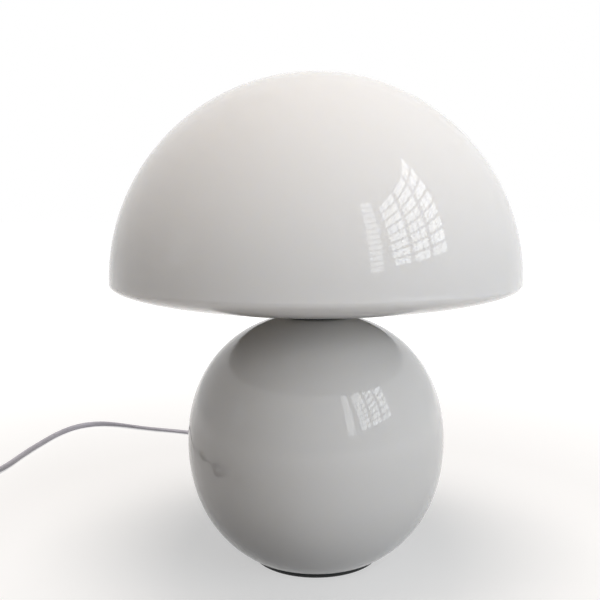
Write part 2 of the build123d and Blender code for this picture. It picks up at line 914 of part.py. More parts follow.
# The coil: the cord spirals in on the table, climbs one layer where the spiral
# turns round, and spirals out again on top of itself.
coil_centre_x = switch_x + coil_middle_radius + coil_turns * coil_pitch / 2
coil_outer = coil_middle_radius + coil_turns * coil_pitch / 2


def coil_point(turn):
    """Centre line of the coil after a number of turns from its outer start."""
    past_reversal = turn - coil_turns
    radius = coil_outer - coil_pitch * (coil_turns - abs(past_reversal))
    share = min(max(past_reversal / coil_climb + 0.5, 0), 1)
    height = lie + coil_layer_height * share * share * (3 - 2 * share)
    angle = math.pi + 2 * math.pi * turn
    return Vector(
        coil_centre_x + radius * math.cos(angle),
        coil_centre_y + radius * math.sin(angle),
        height,
    )


def coil_direction(turn):
    """Direction of the coil's centre line."""
    small = 1e-4
    if turn < small or turn > 2 * coil_turns - small:
        return Vector(0, -1, 0)
    return (coil_point(turn + small) - coil_point(turn - small)).normalized()


def biarc(start, start_way, end, end_way):
    """Two arcs, tangent to each other and to both end directions."""
    chord = end - start
    ways = start_way + end_way
    bend = 2 * (1 - start_way.dot(end_way))
    along = chord.dot(ways)
    reach = (-along + math.sqrt(along**2 + bend * chord.dot(chord))) / bend
    first_corner = start + start_way * reach
    second_corner = end - end_way * reach
    middle = (first_corner + second_corner) * 0.5
    TangentArc(start, middle, tangent=start_way)
    TangentArc(middle, end, tangent=second_corner - first_corner)


with BuildPart() as cord_coil:
    with BuildLine() as coil_line:
        coil_start = coil_point(0)
        coil_end = coil_point(2 * coil_turns)
        Line(coil_start + Vector(0, cord_diameter, 0), coil_start)
        steps = 2 * coil_turns * coil_steps_per_turn
        for step in range(steps):
            here = step / coil_steps_per_turn
            there = (step + 1) / coil_steps_per_turn
            biarc(coil_point(here), coil_direction(here), coil_point(there), coil_direction(there))
        Line(coil_end, coil_end - Vector(0, cord_diameter, 0))
    coil_path = coil_line.wires()[0]
    with BuildSketch(Plane(origin=coil_path @ 0, z_dir=coil_path % 0)):
        Circle(cord_radius)
    sweep(path=coil_path)
report_tube("cord_coil", cord_coil, coil_path.length)
finish(cord_coil, "cord_coil")

samples = [coil_path @ (step / coil_samples) for step in range(coil_samples + 1)]
skip = int(coil_samples * 4 * cord_diameter / coil_path.length)
least_gap = min(
    (one - other).length
    for index, one in enumerate(samples)
    for other in samples[index + skip :]
)
print(f"cord_coil: least gap to itself {least_gap - cord_diameter:.2f}")
through_switch = switch_length - 2 * cord_channel_depth
whole_cord = lead_length + through_switch + tail_length + coil_path.length + end_length
print(f"cord from strain relief to plug: {whole_cord:.0f}")

# ---------------------------------------------------------------------------
# Inline switch
# ---------------------------------------------------------------------------

half_length = switch_length / 2
half_width = switch_width / 2
half_end = switch_end_width / 2
switch_outline = [
    (-half_width, -half_length + switch_shoulder),
    (-half_end, -half_length),
    (half_end, -half_length),
    (half_width, -half_length + switch_shoulder),
    (half_width, half_length - switch_shoulder),
    (half_end, half_length),
    (-half_end, half_length),
    (-half_width, half_length - switch_shoulder),
]
screw_places = [(0, -switch_screw_offset), (0, switch_screw_offset)]


def switch_plane(height):
    """Level plane through the switch, with its origin on the switch's middle."""
    return Plane(origin=(switch_x, switch_y, height))


def switch_half(bottom, top):
    """One shell of the switch between two heights, with its upright corners rounded."""
    with BuildPart() as half:
        with BuildSketch(switch_plane(bottom)):
            Polygon(*switch_outline, align=None)
        extrude(amount=top - bottom)
        fillet(half.edges().filter_by(Axis.Z), radius=switch_corner_round)
    return half.part


cord_mouths = [
    Plane(origin=(switch_x, end_y, switch_cord_height), x_dir=(1, 0, 0), z_dir=(0, outwards, 0))
    for end_y, outwards in ((switch_entry_y, 1), (switch_exit_y, -1))
]
base_half = switch_half(0, switch_cord_height)
with BuildPart() as switch_base:
    add(base_half)
    fillet(switch_base.edges().group_by(Axis.Z)[0], radius=switch_bottom_round)
    with BuildSketch(*cord_mouths):
        Circle(cord_radius + cord_channel_clearance)
    extrude(amount=-cord_channel_depth, mode=Mode.SUBTRACT)
    with BuildSketch(switch_plane(0)):
        with Locations(*screw_places):
            Circle(switch_screw_head_radius + hole_clearance)
    extrude(amount=switch_screw_recess, mode=Mode.SUBTRACT)
    with BuildSketch(switch_plane(0)):
        with Locations(*screw_places):
            Circle(switch_screw_radius + hole_clearance)
    extrude(amount=switch_cord_height, mode=Mode.SUBTRACT)
finish(switch_base, "switch_base")

cover_half = switch_half(switch_cord_height, switch_height)
pivot = Vector(switch_x, switch_y, rocker_pivot_height)
well_width, well_length = rocker_well
rocker_width, rocker_length = rocker_size
with BuildPart() as switch_cover:
    add(cover_half)
    fillet(switch_cover.edges().group_by(Axis.Z)[-1], radius=switch_top_round)
    with BuildSketch(*cord_mouths):
        Circle(cord_radius + cord_channel_clearance)
    extrude(amount=-cord_channel_depth, mode=Mode.SUBTRACT)
    with BuildSketch(switch_plane(switch_cord_height)):
        Rectangle(well_width, well_length)
    extrude(amount=switch_height, mode=Mode.SUBTRACT)
    trunnion_reach = rocker_width / 2 + trunnion_length + trunnion_end_clearance
    with BuildSketch(Plane(origin=pivot, z_dir=(1, 0, 0))):
        Circle(trunnion_radius + trunnion_clearance)
    extrude(amount=trunnion_reach, both=True, mode=Mode.SUBTRACT)
    with BuildSketch(switch_plane(switch_cord_height)):
        with Locations(*screw_places):
            Circle(switch_screw_radius + thread_clearance)
    extrude(amount=switch_screw_grip + hole_clearance, mode=Mode.SUBTRACT)
finish(switch_cover, "switch_cover")

# Rocker, standing in its rest position with the lamp's end pressed down
tilt = math.radians(rocker_tilt)
rocker_plane = Plane(origin=pivot, x_dir=(0, math.cos(tilt), -math.sin(tilt)), z_dir=(1, 0, 0))
half_rocker = rocker_length / 2
with BuildPart() as switch_rocker:
    with BuildSketch(rocker_plane):
        with BuildLine():
            Polyline(
                (-half_rocker, -rocker_skirt),
                (-half_rocker, rocker_end_height),
                (0, rocker_middle_height),
                (half_rocker, rocker_end_height),
                (half_rocker, -rocker_skirt),
                (rocker_keel_width / 2, -rocker_keel),
                (-rocker_keel_width / 2, -rocker_keel),
                close=True,
            )
        make_face()
    extrude(amount=rocker_width / 2, both=True)
    fillet(switch_rocker.edges().filter_by(Axis.X).sort_by(Axis.Z)[-2:], radius=rocker_round)
    with BuildSketch(rocker_plane):
        Circle(trunnion_radius)
    extrude(amount=rocker_width / 2 + trunnion_length, both=True)
finish(switch_rocker, "switch_rocker")

with BuildPart() as switch_screws:
    head_seat = switch_screw_recess
    with BuildSketch(switch_plane(head_seat - switch_screw_head_height)):
        with Locations(*screw_places):
            Circle(switch_screw_head_radius)
    extrude(amount=switch_screw_head_height)
    with BuildSketch(switch_plane(head_seat)):
        with Locations(*screw_places):
            Circle(switch_screw_radius)
    extrude(amount=switch_cord_height + switch_screw_grip - head_seat)
finish(switch_screws, "switch_screws")

# ---------------------------------------------------------------------------
# Plug, lying flat with its pins towards +X
# ---------------------------------------------------------------------------

tail_x, plug_y, plug_z = end_route[-1]
plug_rear = tail_x + plug_tail_length
plug_face = plug_rear + plug_length
half_plug = plug_width / 2
half_rear = plug_rear_width / 2
waist_length, waist_width = plug_waist
pin_places = [(-pin_spacing / 2, 0), (pin_spacing / 2, 0)]
face_plane = Plane(origin=(plug_face, plug_y, plug_z), x_dir=(0, 1, 0), z_dir=(1, 0, 0))
with BuildPart() as plug_body:
    with BuildSketch(Plane(origin=(plug_rear, plug_y, 0))):
        with BuildLine():
            Polyline(
                (0, -half_rear),
                (waist_length, -waist_width / 2),
                (plug_shoulder, -half_plug),
                (plug_length, -half_plug),
                (plug_length, half_plug),
                (plug_shoulder, half_plug),
                (waist_length, waist_width / 2),
                (0, half_rear),
                close=True,
            )
        make_face()
    extrude(amount=plug_height)
    fillet(plug_body.edges().filter_by(Axis.Z), radius=plug_round)
    fillet(plug_body.edges().group_by(Axis.Z)[0], radius=plug_face_round)
    fillet(plug_body.edges().group_by(Axis.Z)[-1], radius=plug_face_round)
    with BuildSketch(Plane(origin=(tail_x, plug_y, plug_z), x_dir=(1, 0, 0), z_dir=(0, -1, 0))):
        with BuildLine():
            Polyline(
                (0, 0),
                (0, plug_tail_tip_radius),
                (plug_tail_length + plug_round, plug_tail_radius),
                (plug_tail_length + plug_round, 0),
                close=True,
            )
        make_face()
    revolve(axis=Axis((tail_x, plug_y, plug_z), (1, 0, 0)))
    with BuildSketch(face_plane):
        with Locations(*pin_places):
            Circle(pin_root_radius + thread_clearance)
    extrude(amount=-pin_set_in, mode=Mode.SUBTRACT)
finish(plug_body, "plug_body")

with BuildPart() as plug_pins:
    with BuildSketch(face_plane):
        with Locations(*pin_places):
            Circle(pin_radius)
    extrude(amount=pin_length)
    fillet(plug_pins.edges().group_by(Axis.X)[-1], radius=pin_tip_round)
    with BuildSketch(face_plane):
        with Locations(*pin_places):
            Circle(pin_root_radius)
    extrude(amount=-pin_set_in)
finish(plug_pins, "plug_pins")
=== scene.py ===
import math

import bpy
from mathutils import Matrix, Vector


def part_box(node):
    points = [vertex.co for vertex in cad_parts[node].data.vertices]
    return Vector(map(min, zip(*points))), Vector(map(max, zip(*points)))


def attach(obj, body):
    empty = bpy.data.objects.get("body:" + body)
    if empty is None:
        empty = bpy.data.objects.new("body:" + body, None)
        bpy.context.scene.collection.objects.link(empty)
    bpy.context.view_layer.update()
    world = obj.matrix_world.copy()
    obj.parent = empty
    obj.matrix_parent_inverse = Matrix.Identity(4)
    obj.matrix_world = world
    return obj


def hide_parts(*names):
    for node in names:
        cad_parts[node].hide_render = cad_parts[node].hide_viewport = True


bl_info = {
    "name": "Mushroom Table Lamp",
    "version": (1, 0, 0),
    "blender": (4, 5, 0),
    "location": "3D View > Sidebar > Lamp",
    "description": "Opal glass, cord, fittings and stage of a mushroom table lamp",
    "category": "Object",
}

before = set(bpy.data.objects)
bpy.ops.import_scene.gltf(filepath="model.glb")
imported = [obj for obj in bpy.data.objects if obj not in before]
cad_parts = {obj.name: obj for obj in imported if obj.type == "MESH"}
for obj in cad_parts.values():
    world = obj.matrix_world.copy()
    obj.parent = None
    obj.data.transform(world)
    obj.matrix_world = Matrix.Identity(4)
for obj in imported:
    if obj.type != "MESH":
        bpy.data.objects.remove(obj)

SHADE_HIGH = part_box("shade")[1]
GLOBE_LOW, GLOBE_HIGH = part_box("globe")

# Where the cord leaves the globe, its direction there, and how far out the strain
# relief covers it
CORD_EXIT = Vector((0, 0.08330, 0.03588))
EXIT_WAY = Vector((0, 0.87099, -0.49130))

# Heights of the cord's middle: flat on the table, on edge, at the switch and the plug
FLAT_LIE = 0.0020
EDGE_LIE = 0.0031
SWITCH_LIE = 0.0060
PLUG_LIE = 0.0065

# Route of the cord from the strain relief to the switch, and how far it is turned at
# each point, from flat (0) to on edge (1)
LEAD = [
    ((0, 0.107687, 0.022128), 0.0),
    ((0, 0.141421, 0.0026), 0.0),
    ((0.004, 0.180, FLAT_LIE), 0.0),
    ((-0.002, 0.221, FLAT_LIE), 0.0),
    ((-0.022, 0.257, FLAT_LIE), 0.0),
    ((-0.057, 0.283, FLAT_LIE), 0.0),
    ((-0.104, 0.302, FLAT_LIE), 0.0),
    ((-0.156, 0.324, FLAT_LIE), 0.0),
    ((-0.203, 0.337, 0.0023), 0.2),
    ((-0.241, 0.353, 0.0029), 0.55),
    ((-0.267, 0.356, 0.0032), 0.85),
    ((-0.289, 0.341, EDGE_LIE), 1.0),
    ((-0.3005, 0.310, EDGE_LIE), 1.0),
    ((-0.307, 0.271, EDGE_LIE), 1.0),
    ((-0.312, 0.230, EDGE_LIE), 1.0),
    ((-0.314, 0.192, EDGE_LIE), 1.0),
    ((-0.321, 0.160, 0.0045), 0.6),
    ((-0.332, 0.131, SWITCH_LIE), 0.1),
    ((-0.332, 0.100, SWITCH_LIE), 0.0),
]
SWITCH_TO_COIL = [
    ((-0.332, 0.075, SWITCH_LIE), 0.0),
    ((-0.332, 0.050, SWITCH_LIE), 0.0),
    ((-0.332, 0.021, SWITCH_LIE), 0.1),
    ((-0.336, -0.002, 0.0036), 0.6),
    ((-0.332, -0.026, EDGE_LIE), 1.0),
    ((-0.332, -0.0488, EDGE_LIE), 1.0),
]
COIL_TO_PLUG = [
    ((-0.332, -0.0612, 0.0098), 1.0),
    ((-0.332, -0.083, 0.0098), 1.0),
    ((-0.333, -0.106, EDGE_LIE), 0.8),
    ((-0.320, -0.128, 0.0041), 0.4),
    ((-0.297, -0.141, PLUG_LIE), 0.0),
    ((-0.272, -0.141, PLUG_LIE), 0.0),
]

# The coil has two layers, and starts and ends on its outermost turn
COIL_CENTRE = Vector((-0.2911, -0.055))
COIL_OUTER = 0.0409
COIL_PITCH = 0.0069
COIL_LAYER = 0.0067
COIL_LAYER_TURNS = 2
COIL_POINTS_PER_TURN = 16
COIL_CLIMB = 0.5  # turns in which the cord climbs to the upper layer
CORD_SECTION_STEPS = 5
CORD_STEPS = 8

# Outlines
ARC_HANDLE = 0.5523  # handle length of a quarter circle, as a share of its radius
CORNER_PULL = 0.6  # how far the handles of a rounded corner reach towards it
SEARCH_STEPS = 40
MERGE_DISTANCE = 1e-6
SPIN_STEPS = 240

# The ground foot of the globe, and the hole for the cord
FOOT_RING = 0.0490
FOOT_ROUND = 0.0017
CORD_HOLE = 0.0062
DRILL_LENGTH = 0.03

# The photograph's viewpoint, its tilt downwards in degrees, the lens in millimetres,
# and how many pixels the lamp stands right of the photograph's middle
CAMERA_PLACE = (0, -0.5954, 0.2621)
CAMERA_TILT = 6.46
CAMERA_LENS = 48
CAMERA_SENSOR = 36
CAMERA_NEAR = 0.05
PHOTO_WIDTH = 600
PHOTO_OFFSET = 16

# Where a noise's values mostly lie
NOISE_RANGE = (0.3, 0.7)
# A Map Range node's From Min, From Max, To Min and To Max
RANGE_SOCKETS = slice(1, 5)

# The floor gives back less light near the lamp. It is seen as white further out, and
# a little darker near the lamp: its lower glow there is painted shade, which the glass
# reflects and which deepens the lamp's real shadow. Distances are from the lamp's
# middle
FLOOR_SIZE = 30
FLOOR_DROP = 0.0002  # keeps the floor off the faces that stand on it
BOUNCE_REACH = (0.12, 0.55)
GLOW_REACH = (0.3, 1.2)
SHADED_GLOW_RANGE = (0.52, 1.0)
FLOOR_TONE = (0.5, 0.5, 0.5, 1)

# Directions from the lamp, in degrees to the right of the viewer and upwards
TOP_LIGHT, FRONT_LIGHT, SIDE_LIGHT = (0, 86), (20, 6), (55, 6)
WARM_WHITE = (1.0, 0.935, 0.88)
SOFT_WHITE = (1.0, 0.98, 0.96)
COOL_WHITE = (0.88, 0.94, 1.0)
LIGHT_AIM = 0.2
LIGHT_DISTANCE = 2.2
LIGHT_SIZE = 1.3

# Each window's corners as directions, from the lower left and turning right, its
# panes across and up, and its share of the windows' brightness
WINDOWS = {
    "window_wide": (((38, 9), (71, 12), (79, 55), (35, 37)), (3, 8), 1.0),
    "window_slats": (((27, 7), (34, 8), (34, 41), (27, 41)), (1, 13), 0.8),
    "window_far": (((-84, 6), (-70, 6), (-68, 20), (-80, 20)), (2, 3), 0.3),
}
WINDOW_DISTANCE = 2.4
WINDOW_GRID = 12
DAYLIGHT = (0.95, 0.98, 1.0, 1)

# Bars, as shares of what they divide, and the twigs behind the panes
RAIL, POST, GLAZING_BAR = 0.24, 0.2, 0.1
PANES_PER_POST = 3
TWIG_SCALE = 5.5
TWIG_WIDTH = 0.025
TWIG_LIGHT = 0.6


class LampSizes(bpy.types.PropertyGroup):
    """Sizes of the glass and the cord"""

    shade_wall: bpy.props.FloatProperty(
        name="Shade wall", description="Thickness of the shade's glass",
        default=0.003, min=0.001, unit="LENGTH", subtype="DISTANCE")
    lip_width: bpy.props.FloatProperty(
        name="Lip width", description="How far the lip is drawn in under the dome",
        default=0.045, min=0.0, unit="LENGTH", subtype="DISTANCE")
    lip_depth: bpy.props.FloatProperty(
        name="Lip depth", description="From the widest line down to the lip's edge",
        default=0.0152, min=0.0, unit="LENGTH", subtype="DISTANCE")
    lip_slope: bpy.props.FloatProperty(
        name="Lip slope", description="Slope of the lip at its edge",
        default=math.radians(9), subtype="ANGLE")
    globe_wall: bpy.props.FloatProperty(
        name="Globe wall", description="Thickness of the globe's glass",
        default=0.004, min=0.001, unit="LENGTH", subtype="DISTANCE")
    globe_belly: bpy.props.FloatProperty(
        name="Belly height", description="Height of the globe's widest line",
        default=0.0897, unit="LENGTH", subtype="DISTANCE")
    globe_rise: bpy.props.FloatProperty(
        name="Rise", description="From the belly line to the blown crown",
        default=0.0958, unit="LENGTH", subtype="DISTANCE")
    globe_drop: bpy.props.FloatProperty(
        name="Drop", description="From the belly line to the blown bottom",
        default=0.0990, unit="LENGTH", subtype="DISTANCE")
    globe_fullness: bpy.props.FloatProperty(
        name="Fullness",
        description="Squareness of the globe's outline, 0.552 is an ellipse",
        default=0.6, min=0.4, max=0.8)
    neck_hole: bpy.props.FloatProperty(
        name="Neck hole", description="Radius of the hole in the globe's neck",
        default=0.016, unit="LENGTH", subtype="DISTANCE")
    cord_width: bpy.props.FloatProperty(
        name="Cord width", description="Width of the flat two-core cord",
        default=0.0062, min=0.002, unit="LENGTH", subtype="DISTANCE")
    cord_thickness: bpy.props.FloatProperty(
        name="Cord thickness", description="Thickness of the flat two-core cord",
        default=0.0038, min=0.002, unit="LENGTH", subtype="DISTANCE")


class LampColours(bpy.types.PropertyGroup):
    """Colours of the lamp's main finishes"""

    opal_glass: bpy.props.FloatVectorProperty(
        name="Opal glass", description="Colour of the white opal glass",
        default=(0.80, 0.785, 0.765), min=0, max=1, subtype="COLOR")
    # The real sheath is white; this grey-violet default is painted shade, the tone a
    # white cord takes lying in the room's shade
    cord_sheath: bpy.props.FloatVectorProperty(
        name="Cord sheath", description="Colour of the cord's plastic sheath",
        default=(0.52, 0.51, 0.57), min=0, max=1, subtype="COLOR")
    black_paint: bpy.props.FloatVectorProperty(
        name="Black paint", description="Colour of the painted foot and collar",
        default=(0.006, 0.008, 0.008), min=0, max=1, subtype="COLOR")
    white_plastic: bpy.props.FloatVectorProperty(
        name="White plastic", description="Colour of the moulded fittings",
        default=(0.74, 0.73, 0.70), min=0, max=1, subtype="COLOR")


class StageSettings(bpy.types.PropertyGroup):
    """Light and floor around the lamp"""

    near_bounce: bpy.props.FloatProperty(
        name="Near bounce",
        description="How much light the floor gives back beside the lamp",
        default=0.08, min=0, max=1)
    far_bounce: bpy.props.FloatProperty(
        name="Far bounce",
        description="How much light the floor gives back further out",
        default=0.80, min=0, max=1)
    top_power: bpy.props.FloatProperty(
        name="Top light", description="Power of the soft light overhead",
        default=46.0, min=0, unit="POWER")
    front_power: bpy.props.FloatProperty(
        name="Front light", description="Power of the low soft light in front",
        default=9.0, min=0, unit="POWER")
    side_power: bpy.props.FloatProperty(
        name="Side light", description="Power of the low soft light at the right",
        default=21.5, min=0, unit="POWER")
    window_strength: bpy.props.FloatProperty(
        name="Window", description="Brightness of the window that the glass reflects",
        default=5.2, min=0)
    ambient: bpy.props.FloatProperty(
        name="Ambient", description="Brightness of the room's even light",
        default=0.05, min=0, max=1)


# ---------------------------------------------------------------------------
# Materials
# ---------------------------------------------------------------------------


class Nodes:
    """Short way to lay out a material's nodes and read patterns in metres."""

    def __init__(self, name):
        self.material = bpy.data.materials.new(name)
        self.material.use_nodes = True
        self.tree = self.material.node_tree
        self.shader = self.tree.nodes["Principled BSDF"]
        self.place = self.add("ShaderNodeTexCoord").outputs["Object"]

    def add(self, kind, **settings):
        node = self.tree.nodes.new(kind)
        for key, value in settings.items():
            setattr(node, key, value)
        return node

    def link(self, source, target):
        self.tree.links.new(source, target)

    def stretched(self, scale):
        """Object coordinates scaled differently along X, Y and Z."""
        mapping = self.add("ShaderNodeMapping")
        mapping.inputs["Scale"].default_value = scale
        self.link(self.place, mapping.inputs["Vector"])
        return mapping.outputs["Vector"]

    def noise(self, scale, detail, roughness=0.5, source=None):
        node = self.add("ShaderNodeTexNoise")
        node.inputs["Scale"].default_value = scale
        node.inputs["Detail"].default_value = detail
        node.inputs["Roughness"].default_value = roughness
        self.link(source or self.place, node.inputs["Vector"])
        return node.outputs["Fac"]

    def cells(self, scale):
        node = self.add("ShaderNodeTexVoronoi")
        node.inputs["Scale"].default_value = scale
        self.link(self.place, node.inputs["Vector"])
        return node.outputs["Distance"]

    def spread(self, source, low, high):
        """A pattern's values spread between two numbers."""
        node = self.add("ShaderNodeMapRange", clamp=True)
        values = (*NOISE_RANGE, low, high)
        for socket, value in zip(node.inputs[RANGE_SOCKETS], values):
            socket.default_value = value
        self.link(source, node.inputs["Value"])
        return node.outputs["Result"]

    def two_tone(self, source, first, second, low=0.35, high=0.65):
        """Colour that runs between two tones with a pattern."""
        node = self.add("ShaderNodeValToRGB")
        start, end = node.color_ramp.elements
        start.position, end.position = low, high
        start.color, end.color = (*first, 1), (*second, 1)
        self.link(source, node.inputs["Fac"])
        return node.outputs["Color"]

    def bump(self, source, height):
        node = self.add("ShaderNodeBump")
        node.inputs["Strength"].default_value = 1.0
        node.inputs["Distance"].default_value = height
        self.link(source, node.inputs["Height"])
        return node.outputs["Normal"]

    def set(self, **values):
        """Give the shader's sockets their values or patterns, by name."""
        for key, value in values.items():
            socket = self.shader.inputs[key.replace("_", " ")]
            if isinstance(value, bpy.types.NodeSocket):
                self.link(value, socket)
            else:
                socket.default_value = value


def shade_of(colour, share):
    """A colour made lighter or darker."""
    return tuple(min(1.0, channel * share) for channel in colour)


def opal_glass(name, colour, waviness, scatter):
    """Polished opal glass: milky body, clear glossy skin, slight blown waviness."""
    nodes = Nodes(name)
    cloud = nodes.noise(scale=9, detail=2)
    polish = nodes.noise(scale=60, detail=4)
    nodes.set(
        Base_Color=nodes.two_tone(cloud, shade_of(colour, 0.985), colour),
        Roughness=nodes.spread(polish, low=0.008, high=0.022),
        Normal=nodes.bump(nodes.noise(scale=11, detail=1), waviness),
        IOR=1.52,
        Subsurface_Weight=scatter,
        Subsurface_Radius=(1.0, 0.9, 0.72),
        Subsurface_Scale=0.012,
    )
    return nodes.material


def moulded_plastic(name, colour, roughness=0.38):
    """Injection-moulded plastic with a fine spark-eroded grain."""
    nodes = Nodes(name)
    fine = nodes.noise(scale=2600, detail=2)
    broad = nodes.noise(scale=45, detail=3)
    nodes.set(
        Base_Color=nodes.two_tone(broad, shade_of(colour, 0.96), colour),
        Roughness=nodes.spread(broad, roughness - 0.05, roughness + 0.07),
        Normal=nodes.bump(fine, height=0.000012),
        IOR=1.49,
    )
    return nodes.material


def rubber(name, colour):
    """Matt rubber, slightly dusty."""
    nodes = Nodes(name)
    dust = nodes.noise(scale=120, detail=6, roughness=0.65)
    dusty = tuple(channel + 0.02 for channel in colour)
    nodes.set(
        Base_Color=nodes.two_tone(dust, colour, dusty, low=0.45, high=0.8),
        Roughness=nodes.spread(dust, low=0.62, high=0.85),
        Normal=nodes.bump(nodes.noise(scale=1500, detail=3), height=0.00003),
        IOR=1.52,
    )
    return nodes.material


def satin_paint(name, colour, roughness=0.32):
    """Sprayed enamel with a slight orange peel."""
    nodes = Nodes(name)
    peel = nodes.noise(scale=700, detail=1)
    coat = nodes.noise(scale=30, detail=4)
    sheen = nodes.noise(scale=90, detail=4)
    nodes.set(
        Base_Color=nodes.two_tone(coat, colour, shade_of(colour, 1.35)),
        Roughness=nodes.spread(sheen, roughness - 0.06, roughness + 0.08),
        Normal=nodes.bump(peel, height=0.00002),
        IOR=1.4,
    )
    return nodes.material


def plated_metal(name, colour, roughness=0.28, spangle=0.0, grain=(1, 1, 1)):
    """Plated or polished metal, with spangle or drawing lines where it has them."""
    nodes = Nodes(name)
    wear = nodes.noise(160, 5, 0.6, nodes.stretched(grain))
    tone = nodes.two_tone(wear, shade_of(colour, 0.86), colour)
    lines = nodes.noise(900, 3, 0.6, nodes.stretched(grain))
    if spangle:
        dull = shade_of(colour, 0.8)
        tone = nodes.two_tone(nodes.cells(spangle), dull, colour, low=0.1, high=0.7)
    nodes.set(
        Base_Color=tone,
        Metallic=1.0,
        Roughness=nodes.spread(wear, roughness - 0.08, roughness + 0.14),
        Normal=nodes.bump(lines, height=0.000015),
    )
    return nodes.material


def cast_iron(name):
    """Raw casting: dark grey, pitted, with patches of rusty bloom."""
    nodes = Nodes(name)
    iron, bloom = (0.075, 0.072, 0.070), (0.17, 0.085, 0.045)
    pits = nodes.noise(scale=420, detail=8, roughness=0.7)
    rust = nodes.noise(scale=55, detail=6, roughness=0.65)
    nodes.set(
        Base_Color=nodes.two_tone(rust, iron, bloom, low=0.48, high=0.75),
        Metallic=0.6,
        Roughness=nodes.spread(rust, low=0.55, high=0.9),
        Normal=nodes.bump(pits, height=0.0004),
    )
    return nodes.material


def glazed_ceramic(name):
    """White steatite with a thin glaze and fine specks."""
    nodes = Nodes(name)
    speck, body = (0.50, 0.46, 0.40), (0.76, 0.75, 0.71)
    specks = nodes.noise(scale=800, detail=2)
    glaze = nodes.noise(scale=70, detail=3)
    nodes.set(
        Base_Color=nodes.two_tone(specks, speck, body, low=0.22, high=0.32),
        Roughness=nodes.spread(glaze, low=0.14, high=0.3),
        Normal=nodes.bump(nodes.noise(scale=140, detail=2), height=0.00006),
    )
    return nodes.material


def frosted_bulb(name):
    """Powder-frosted bulb envelope."""
    nodes = Nodes(name)
    thin, full = (0.80, 0.79, 0.76), (0.86, 0.86, 0.84)
    powder = nodes.noise(scale=1400, detail=4, roughness=0.6)
    nodes.set(
        Base_Color=nodes.two_tone(nodes.noise(scale=40, detail=3), thin, full),
        Roughness=nodes.spread(powder, low=0.36, high=0.5),
        Normal=nodes.bump(powder, height=0.00001),
        Subsurface_Weight=0.2,
        Subsurface_Radius=(1.0, 0.95, 0.85),
        Subsurface_Scale=0.004,
    )
    return nodes.material


def cord_sheath(name, colour):
    """Extruded sheath: satin, with faint drawing lines and darker handling marks."""
    nodes = Nodes(name)
    marks = nodes.noise(scale=26, detail=5, roughness=0.6)
    nodes.set(
        Base_Color=nodes.two_tone(marks, shade_of(colour, 0.86), colour, 0.3, 0.62),
        Roughness=nodes.spread(marks, low=0.5, high=0.36),
        Normal=nodes.bump(nodes.noise(scale=900, detail=2), height=0.00002),
        IOR=1.5,
    )
    return nodes.material


def bare_board(name):
    """Brushed aluminium board with white solder mask specks."""
    nodes = Nodes(name)
    metal, mask = (0.62, 0.62, 0.60), (0.82, 0.82, 0.80)
    nodes.set(
        Base_Color=nodes.two_tone(nodes.cells(scale=240), metal, mask),
        Roughness=nodes.spread(nodes.noise(scale=300, detail=3), low=0.35, high=0.55),
        Metallic=0.4,
        Normal=nodes.bump(nodes.noise(scale=600, detail=2), height=0.00003),
    )
    return nodes.material


def put_on(thing, material):
    """Give an object one material all over."""
    thing.data.materials.clear()
    thing.data.materials.append(material)


# ---------------------------------------------------------------------------
# Modelling helpers
# ---------------------------------------------------------------------------


def nothing_selected():
    """Leave edit mode and deselect everything."""
    if bpy.context.object and bpy.context.object.mode != "OBJECT":
        bpy.ops.object.mode_set(mode="OBJECT")
    bpy.ops.object.select_all(action="DESELECT")


def part_of(outline, start, end):
    """The four points of a stretch of a cubic outline, between two shares of it."""

    def split(points, share):
        rows = [points]
        while len(rows[-1]) > 1:
            row = rows[-1]
            rows.append([a.lerp(b, share) for a, b in zip(row, row[1:])])
        return [row[0] for row in rows], [row[-1] for row in reversed(rows)]

    kept = split(list(outline), end)[0]
    return split(kept, start / end)[1] if start else kept


def share_at(outline, axis, value):
    """How far along a cubic outline one coordinate reaches a value."""
    low, high = 0.0, 1.0
    rising = outline[-1][axis] > outline[0][axis]
    for _ in range(SEARCH_STEPS):
        middle = (low + high) / 2
        reached = part_of(outline, 0, middle)[-1][axis] > value
        low, high = (low, middle) if reached == rising else (middle, high)
    return (low + high) / 2


def straight(start, end):
    """A straight stretch of outline, as the four points of a cubic."""
    return [start, start.lerp(end, 1 / 3), start.lerp(end, 2 / 3), end]


def rounded(start, corner, end):
    """A stretch of outline that turns a corner."""
    handles = [point.lerp(corner, CORNER_PULL) for point in (start, end)]
    return [start, *handles, end]


def draw_outline(name, stretches, resolution, closed):
    """Draw stretches of outline end to end as one curve and make it a mesh."""
    nothing_selected()
    bpy.ops.curve.primitive_bezier_curve_add()
    drawn = bpy.context.object
    drawn.name = name
    spline = drawn.data.splines[0]
    spline.bezier_points.add(len(stretches) + (not closed) - 2)
    spline.use_cyclic_u = closed
    count = len(spline.bezier_points)
    for point in spline.bezier_points:
        point.handle_left_type = point.handle_right_type = "FREE"
    for index, stretch in enumerate(stretches):
        here = spline.bezier_points[index]
        there = spline.bezier_points[(index + 1) % count]
        here.co, here.handle_right, there.handle_left, there.co = stretch
    if not closed:
        spline.bezier_points[0].handle_left = spline.bezier_points[0].co
        spline.bezier_points[-1].handle_right = spline.bezier_points[-1].co
    drawn.data.resolution_u = resolution
    bpy.ops.object.convert(target="MESH")
    return bpy.context.object


def spin_outline(piece, centre, axis, steps):
    """Spin an outline right round, merge its seam and poles, and face it outwards."""
    bpy.ops.object.mode_set(mode="EDIT")
    bpy.ops.mesh.select_all(action="SELECT")
    bpy.ops.mesh.remove_doubles(threshold=MERGE_DISTANCE)
    bpy.ops.mesh.select_all(action="SELECT")
    bpy.ops.mesh.spin(steps=steps, angle=math.tau, center=centre, axis=axis)
    bpy.ops.mesh.select_all(action="SELECT")
    bpy.ops.mesh.remove_doubles(threshold=MERGE_DISTANCE)
    bpy.ops.mesh.select_all(action="SELECT")
    bpy.ops.mesh.normals_make_consistent(inside=False)
    bpy.ops.object.mode_set(mode="OBJECT")
    piece.location = (0, 0, 0)


